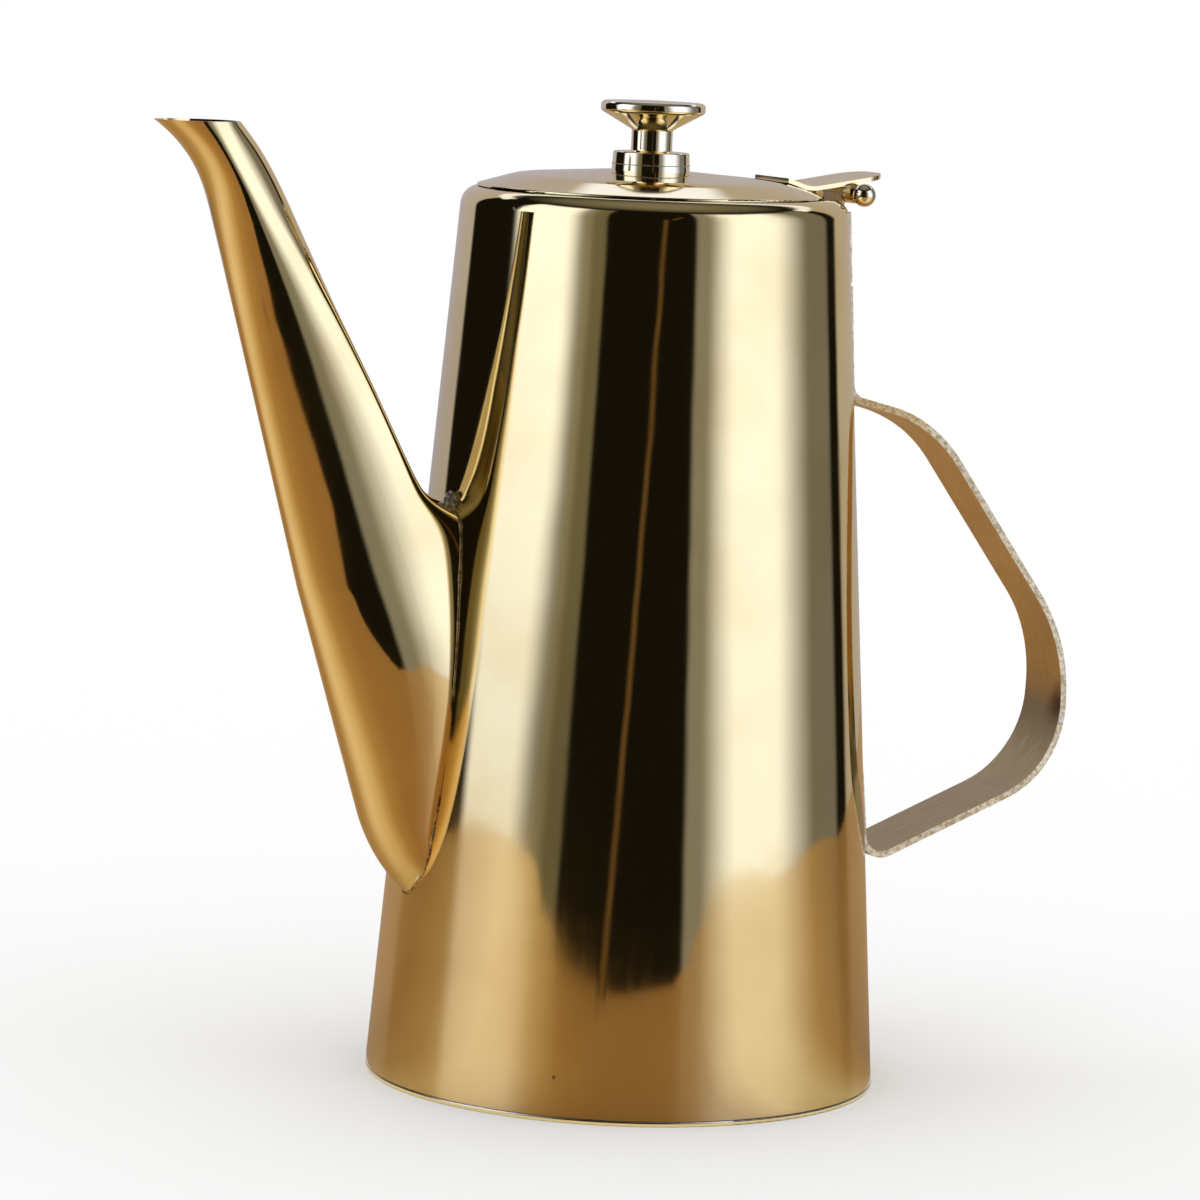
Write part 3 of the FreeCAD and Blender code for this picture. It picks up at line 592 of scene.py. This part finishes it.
def satin_gold(name, darker_low_and_stained=False):
    """Satin gold coating on sheet, with bare sheared edges and small dark specks."""
    tree = Nodes(name)
    edge = tree.ramp(tree.math("ABSOLUTE", tree.split(tree.facing)[1]), *EDGE_FACING)
    cloud = tree.noise(CLOUD_SCALE, detail=4.0)
    pits = tree.noise(PIT_SCALE, detail=2.0)
    fleck = tree.noise(FLECK_SCALE, detail=2.0)
    lines = tree.streaks(BRUSHED_SCALES, detail=3.0)
    face = tree.mix(tree.ramp(cloud, *CLOUD_WEAR), STRAP_GOLD, STRAP_WORN)
    face = tree.mix(tree.ramp(pits, *PIT_RANGE), face, EDGE_DARK)
    if darker_low_and_stained:
        # Darker towards the strap's bottom
        low = tree.ramp(tree.split(tree.place)[2], *LOW_DARKENING)
        face = tree.mix(low, face, STRAP_LOW_DARK)
        away = tree.add("VectorMath", operation="DISTANCE")
        tree.link(tree.place, away.inputs[0])
        away.inputs[1].default_value = STAIN_PLACE
        blot = tree.math("ADD", away.outputs["Value"], tree.ramp(cloud, *STAIN_EDGE))
        face = tree.mix(tree.ramp(blot, *STAIN_FADE), face, STRAP_STAIN)
    chewed = tree.mix(tree.ramp(fleck, *FLECK_RANGE), EDGE_PALE, EDGE_DARK)
    colour = tree.mix(edge, face, chewed)
    rough = tree.math("ADD", tree.ramp(lines, *BRUSHED_DULLING), tree.math("MULTIPLY", edge, EDGE_DULLING))
    normal = tree.bump(tree.math("MULTIPLY", edge, fleck), FLECK_DEPTH)
    normal = tree.bump(lines, BRUSHED_DEPTH, normal)
    return metal(tree, colour, rough, normal)


BEAD_DARK = (0.24, 0.17, 0.08, 1)
BEAD_PALE = (0.58, 0.45, 0.22, 1)
RAW_DARK = (0.36, 0.33, 0.29, 1)
RAW_PALE = (0.88, 0.85, 0.79, 1)
GRAIN_SCALE = 900.0
GRAIN_COLOURING = (0.35, 0.65)
GRAIN_DULLING = (0.3, 0.7, 0.45, 0.25)
GRAIN_DEPTH = 0.00030


def weld_metal(name, dark, pale):
    """Weld: rough, and dark in its hollows."""
    tree = Nodes(name)
    grain = tree.noise(GRAIN_SCALE, detail=3.0)
    colour = tree.mix(tree.ramp(grain, *GRAIN_COLOURING), dark, pale)
    return metal(tree, colour, tree.ramp(grain, *GRAIN_DULLING), tree.bump(grain, GRAIN_DEPTH))


polished = polished_gold("polished_gold")
# Paler copy of the polished gold with painted highlight, for the knob and hinge pin
pale_gold_painted_highlight = polished_gold("pale_gold_painted_highlight", KNOB_GOLD_PAINTED_HIGHLIGHT, KNOB_WORN_PAINTED_HIGHLIGHT)
FINISHES = {"polished_gold": polished, "satin_gold": satin_gold("satin_gold"), "inner_steel": inner_steel()}
OWN_FINISHES = {
    "body_shell": lined_gold("body_gold", inside_body),
    "lid_dome": lined_gold("lid_gold", faces_down),
    "base_plate": lined_gold("base_gold", faces_up),
    "handle_strap": satin_gold("strap_gold", darker_low_and_stained=True),
    "knob": pale_gold_painted_highlight,
    "hinge_pin": pale_gold_painted_highlight,
}
for subpart in frame["record"]["subparts"]:
    mesh = nodes[subpart["node"]].data
    mesh.materials.clear()
    mesh.materials.append(OWN_FINISHES.get(subpart["node"], FINISHES[subpart["material_slot"]]))


# Spout, with a finer skin than its solid

SPOUT_HEIGHT = extent("spout", Z_AXIS)[1]
LIP_LENGTH = 0.0202
SPOUT_BEND = SPOUT_HEIGHT - LIP_LENGTH
SPOUT_WALL = 0.0008
FRONT_FLICK = 0.0081
BACK_FLICK = 0.0028
FLICK_POWER = 3
KNEE_HEIGHT = 0.112
KNEE_REACH = 0.0334
KNEE_FRONT = -wall_radius(KNEE_HEIGHT) - KNEE_REACH
CROTCH_LINE = 0.1198
FRONT_ANGLE = math.radians(15.8)
BACK_ANGLE = math.radians(27.5)
FOOT_ANGLE = math.radians(18.1)
FOOT_HEIGHT = 0.062
TOE_ROUND = 0.043
CROTCH_ROUND = 0.015
CROTCH_LEAN = math.radians(80)
# Heights of the level sections of the root, how far the widest line of each is inside the wall, and how far
# behind that line the section would end
ROOT_SECTIONS = (
    (0.0410, 0.0095, 0.020), (0.0448, 0.0075, 0.022), (0.0491, 0.0042, 0.025), (0.0540, 0.0020, 0.028),
    (0.0588, 0.0005, 0.031), (0.0660, 0.0, 0.034), (0.0753, 0.0, 0.037), (0.0850, 0.0, 0.0385),
    (0.0977, 0.0, 0.0387), (0.1073, 0.0, 0.0382), (0.1150, 0.0, 0.0350), (0.1200, 0.0, 0.0310),
    (0.1264, 0.0, 0.0227),
)
# Leans of the crotch's arc at the level sections above the root, in degrees
CROTCH_LEANS = (69, 57, 45)
# Half widths of the spout and their heights
HALF_WIDTHS = (
    (0.0410, 0.0040), (0.0448, 0.0051), (0.0491, 0.0075), (0.0540, 0.0087), (0.0588, 0.0094),
    (0.0660, 0.0102), (0.0753, 0.0109), (0.0850, 0.0112), (0.0930, 0.01112), (0.1020, 0.01064),
    (0.1080, 0.01014), (0.1150, 0.00954), (0.1240, 0.00894), (0.1350, 0.00844), (0.1500, 0.00795),
    (0.1650, 0.00756), (SPOUT_BEND, 0.0071), (SPOUT_HEIGHT, 0.0072),
)
# The widest line is on the wall up to the first height, and in the tube's middle from the second one
WIDEST_HEIGHTS = (0.088, SPOUT_BEND)
WIDEST_POWER = 1.4
# Run of the widest line per metre of rise above the bend
LIP_SLOPE = -0.62
# How far ahead of the widest line, as a share, the back's roundness starts
BLEND_FROM = 0.3
# Level sections above the crotch, as shares of the shank's height and of the lip's
SHANK_SHARES = (0, 0.33, 0.67, 1)
LIP_SHARES = (0.5, 0.8, 1)
# Turns from the spout's back, in degrees, with their steps: finest where its lines leave the wall far apart
TURN_STEPS = ((0, 68, 4), (68, 97, 0.5), (97, 181, 4))
SPOUT_ROWS = 190
# How far the skin's root goes into the wall, and how near two points count as one
ROOT_SINK = 0.0003
SAME_POINT = 1e-7
SHARP_ANGLE = math.radians(40)


def arc_step(radius, start, lean):
    """How far an arc that heads down at one lean from upright goes sideways and down until another lean."""
    return radius * (math.cos(start) - math.cos(lean)), radius * (math.sin(lean) - math.sin(start))


crotch_run, crotch_drop = arc_step(CROTCH_ROUND, BACK_ANGLE, CROTCH_LEAN)
FLARE_HEIGHT = CROTCH_LINE + (crotch_run + WALL_TAPER * crotch_drop) / (math.tan(BACK_ANGLE) + WALL_TAPER)


def between(low, high, share):
    """A number part of the way from one to another."""
    return low + (high - low) * share


def front_line(height):
    """Front of the spout above its knee."""
    return KNEE_FRONT - (height - KNEE_HEIGHT) * math.tan(FRONT_ANGLE)


def foot_line(height):
    """Front of the spout below its knee."""
    return KNEE_FRONT + (KNEE_HEIGHT - height) * math.tan(FOOT_ANGLE)


def back_line(height):
    """Back of the spout."""
    return -wall_radius(CROTCH_LINE) - (height - CROTCH_LINE) * math.tan(BACK_ANGLE)


def crotch_point(degrees):
    """Point of the arc that brings the spout's back to the wall."""
    run, drop = arc_step(CROTCH_ROUND, BACK_ANGLE, math.radians(degrees))
    return back_line(FLARE_HEIGHT) + run, FLARE_HEIGHT - drop


def spout_front(height):
    """Front of the spout, from the toe's arc to the lip."""
    if height > KNEE_HEIGHT:
        flick = max(0, (height - SPOUT_BEND) / (SPOUT_HEIGHT - SPOUT_BEND)) ** FLICK_POWER
        return front_line(height) - FRONT_FLICK * flick
    if height > FOOT_HEIGHT:
        return foot_line(height)
    lean = math.asin(math.sin(FOOT_ANGLE) + (FOOT_HEIGHT - height) / TOE_ROUND)
    return foot_line(FOOT_HEIGHT) + arc_step(TOE_ROUND, FOOT_ANGLE, lean)[0]


def widest_line(height):
    """Reach of the spout's widest line at a height."""
    low, high = WIDEST_HEIGHTS
    if height < low:
        return -wall_radius(height)
    tube_middle = (back_line(high) + front_line(high)) / 2
    if height > high:
        return tube_middle + (height - high) * LIP_SLOPE
    outward = tube_middle + wall_radius(high)
    return -wall_radius(height) + outward * ((height - low) / (high - low)) ** WIDEST_POWER


class Spline:
    """A smooth curve of a number against height, with no bend at its ends."""

    def __init__(self, pairs):
        self.heights = np.array([height for height, number in pairs])
        self.numbers = np.array([number for height, number in pairs])
        gaps = np.diff(self.heights)
        slopes = np.diff(self.numbers) / gaps
        count = len(self.numbers)
        system = np.eye(count)
        pull = np.zeros(count)
        for i in range(1, count - 1):
            system[i, i - 1:i + 2] = gaps[i - 1], 2 * (gaps[i - 1] + gaps[i]), gaps[i]
            pull[i] = 6 * (slopes[i] - slopes[i - 1])
        self.bends = np.linalg.solve(system, pull)

    def at(self, height):
        """The number at a height."""
        i = int(np.clip(np.searchsorted(self.heights, height) - 1, 0, len(self.heights) - 2))
        gap = self.heights[i + 1] - self.heights[i]
        ahead = (height - self.heights[i]) / gap
        behind = 1 - ahead
        bend = (behind ** 3 - behind) * self.bends[i] + (ahead ** 3 - ahead) * self.bends[i + 1]
        return behind * self.numbers[i] + ahead * self.numbers[i + 1] + bend * gap ** 2 / 6


def spout_backs():
    """Height and reach of the spout's back at its level sections, from toe to lip."""
    pairs = [(height, widest_line(height) + behind) for height, inside, behind in ROOT_SECTIONS]
    for lean in CROTCH_LEANS:
        reach_out, height = crotch_point(lean)
        pairs.append((height, reach_out))
    for share in SHANK_SHARES:
        height = between(FLARE_HEIGHT, SPOUT_BEND, share)
        pairs.append((height, back_line(height)))
    for share in LIP_SHARES:
        height = between(SPOUT_BEND, SPOUT_HEIGHT, share)
        pairs.append((height, back_line(height) - BACK_FLICK * share ** FLICK_POWER))
    return pairs


TOE_HEIGHT = ROOT_SECTIONS[0][0]
half_widths = Spline(HALF_WIDTHS)
backs = Spline(spout_backs())
insides = Spline([(height, inside) for height, inside, behind in ROOT_SECTIONS])


def spout_point(share, turn, inset=0.0):
    """Point of the spout at a share of its height and a turn from its back."""
    height = between(TOE_HEIGHT, SPOUT_HEIGHT, share)
    middle = widest_line(height)
    if height < WIDEST_HEIGHTS[0]:
        middle += insides.at(height)
    along = math.cos(turn)
    ahead = middle - spout_front(height)
    behind = backs.at(height) - middle
    reach_out = between(ahead, behind, ease(-BLEND_FROM, 1, along)) - inset
    half = half_widths.at(height) - inset
    return Vector((middle + reach_out * along, half * math.sin(turn), height))


def outside_wall(point, sink):
    """How far a point is outside the body's wall, drawn in by a sink."""
    return math.hypot(point.x, point.y) - wall_radius(point.z) + sink


WALL_SEARCH_STEP = 0.005
WALL_SEARCH_HALVINGS = 24


def root_share(turn, inset, sink):
    """Share of the spout's length at which one of its lines leaves the wall."""
    low = 0.0
    high = WALL_SEARCH_STEP
    while outside_wall(spout_point(high, turn, inset), sink) < 0:
        low = high
        high += WALL_SEARCH_STEP
    for step in range(WALL_SEARCH_HALVINGS):
        middle = (low + high) / 2
        if outside_wall(spout_point(middle, turn, inset), sink) < 0:
            low = middle
        else:
            high = middle
    return high


def spout_turns():
    """Turns of the spout's lines, the same on both its sides."""
    half = [math.radians(turn) for steps in TURN_STEPS for turn in np.arange(*steps)]
    return half + [2 * math.pi - turn for turn in reversed(half[1:-1])]


def spout_face(inset):
    """Level rows of points of the spout's outer face, or of one inside it; lines wait at the wall."""
    turns = spout_turns()
    starts = [root_share(turn, inset, ROOT_SINK) for turn in turns]
    rows = []
    for i in range(SPOUT_ROWS):
        share = i / (SPOUT_ROWS - 1)
        rows.append([spout_point(max(start, share), turn, inset) for start, turn in zip(starts, turns)])
    return rows


def make_spout_skin():
    """The spout's outer and inner faces, joined by its lip and its root."""
    outer = spout_face(0.0)
    inner = spout_face(SPOUT_WALL)
    rings = outer + inner[::-1] + [outer[0]]
    points = [point for ring in rings[:-1] for point in ring]
    count = len(points)
    faces = [tuple(index % count for index in face) for face in grid_faces(len(rings), len(outer[0]))]
    skin = new_object("spout_skin", points, faces, polished)
    joined = bmesh.new()
    joined.from_mesh(skin.data)
    bmesh.ops.remove_doubles(joined, verts=joined.verts, dist=SAME_POINT)
    joined.to_mesh(skin.data)
    joined.free()
    skin.data.set_sharp_from_angle(angle=SHARP_ANGLE)
    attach(skin, "pot")
    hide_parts("spout")


# Welds and seam

WELD_RADIUS = 0.00034
# Waves of the bead's thickness round the root: their count and depth
WELD_WAVES = ((17, 0.22), (41, 0.16), (63, 0.10))
TUBE_SIDES = 10


def make_tube(name, centres, radii, material, body):
    """A closed round bead along a ring of points."""
    count = len(centres)
    middle = sum(centres, Vector()) / count
    points = []
    for i, centre in enumerate(centres):
        ahead = (centres[(i + 1) % count] - centres[i - 1]).normalized()
        outward = (centre - middle - ahead * (centre - middle).dot(ahead)).normalized()
        aside = ahead.cross(outward)
        for j in range(TUBE_SIDES):
            turn = 2 * math.pi * j / TUBE_SIDES
            points.append(centre + (outward * math.cos(turn) + aside * math.sin(turn)) * radii[i])
    faces = [tuple(index % len(points) for index in face) for face in grid_faces(count + 1, TUBE_SIDES)]
    bead = new_object(name, points, faces, material)
    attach(bead, body)


def make_spout_weld():
    """The thin uneven weld where the spout meets the wall."""
    turns = spout_turns()
    centres = [spout_point(root_share(turn, 0.0, 0.0), turn) for turn in turns]
    radii = []
    for turn in turns:
        waves = sum(depth * math.sin(count * turn + count) for count, depth in WELD_WAVES)
        radii.append(WELD_RADIUS * (1 + waves))
    make_tube("spout_weld", centres, radii, weld_metal("bead_gold", BEAD_DARK, BEAD_PALE), "pot")


# Lump of weld: its half sizes, its place from the crotch's point, and the scales and depths of its lumps
SPOT_SIZE = Vector((0.0013, 0.0026, 0.0029))
SPOT_OFFSET = Vector((-0.0004, -0.0026, 0.0001))
SPOT_LUMPS = ((2.1, 0.20), (6.3, 0.10))
SPOT_ROWS = 36
SPOT_COLUMNS = 48


def make_crotch_weld():
    """The lump of raw weld in the crotch between the spout's back and the wall."""
    crotch = spout_point(root_share(0.0, 0.0, 0.0), 0.0)
    middle = crotch + SPOT_OFFSET
    points = []
    for i in range(SPOT_ROWS):
        polar = math.pi * (i + 0.5) / SPOT_ROWS
        for j in range(SPOT_COLUMNS):
            turn = 2 * math.pi * j / SPOT_COLUMNS
            side = math.sin(polar)
            aim = Vector((side * math.cos(turn), side * math.sin(turn), math.cos(polar)))
            lump = 1 + sum(depth * noise.noise(aim * scale) for scale, depth in SPOT_LUMPS)
            points.append(middle + aim * SPOT_SIZE * lump)
    faces = grid_faces(SPOT_ROWS, SPOT_COLUMNS)
    faces.append(tuple(range(SPOT_COLUMNS)))
    faces.append(tuple(reversed(range(len(points) - SPOT_COLUMNS, len(points)))))
    spot = new_object("crotch_weld", points, faces, weld_metal("raw_weld", RAW_DARK, RAW_PALE))
    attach(spot, "pot")


SEAM_RADIUS = 0.00868
SEAM_LIFT = 0.0014
SEAM_HEIGHT = extent("knob", Z_AXIS)[0] + SEAM_LIFT
SEAM_BEAD = 0.00011
SEAM_POINTS = 120
KNOB_AXIS = sum(extent("knob", X_AXIS)) / 2


def make_collar_seam():
    """The fine seam round the knob's collar."""
    turns = [2 * math.pi * i / SEAM_POINTS for i in range(SEAM_POINTS)]
    centres = [Vector((KNOB_AXIS + SEAM_RADIUS * math.cos(turn), SEAM_RADIUS * math.sin(turn), SEAM_HEIGHT))
               for turn in turns]
    make_tube("collar_seam", centres, [SEAM_BEAD] * SEAM_POINTS, FINISHES["satin_gold"], "lid")


make_spout_skin()
make_spout_weld()
make_crotch_weld()
make_collar_seam()
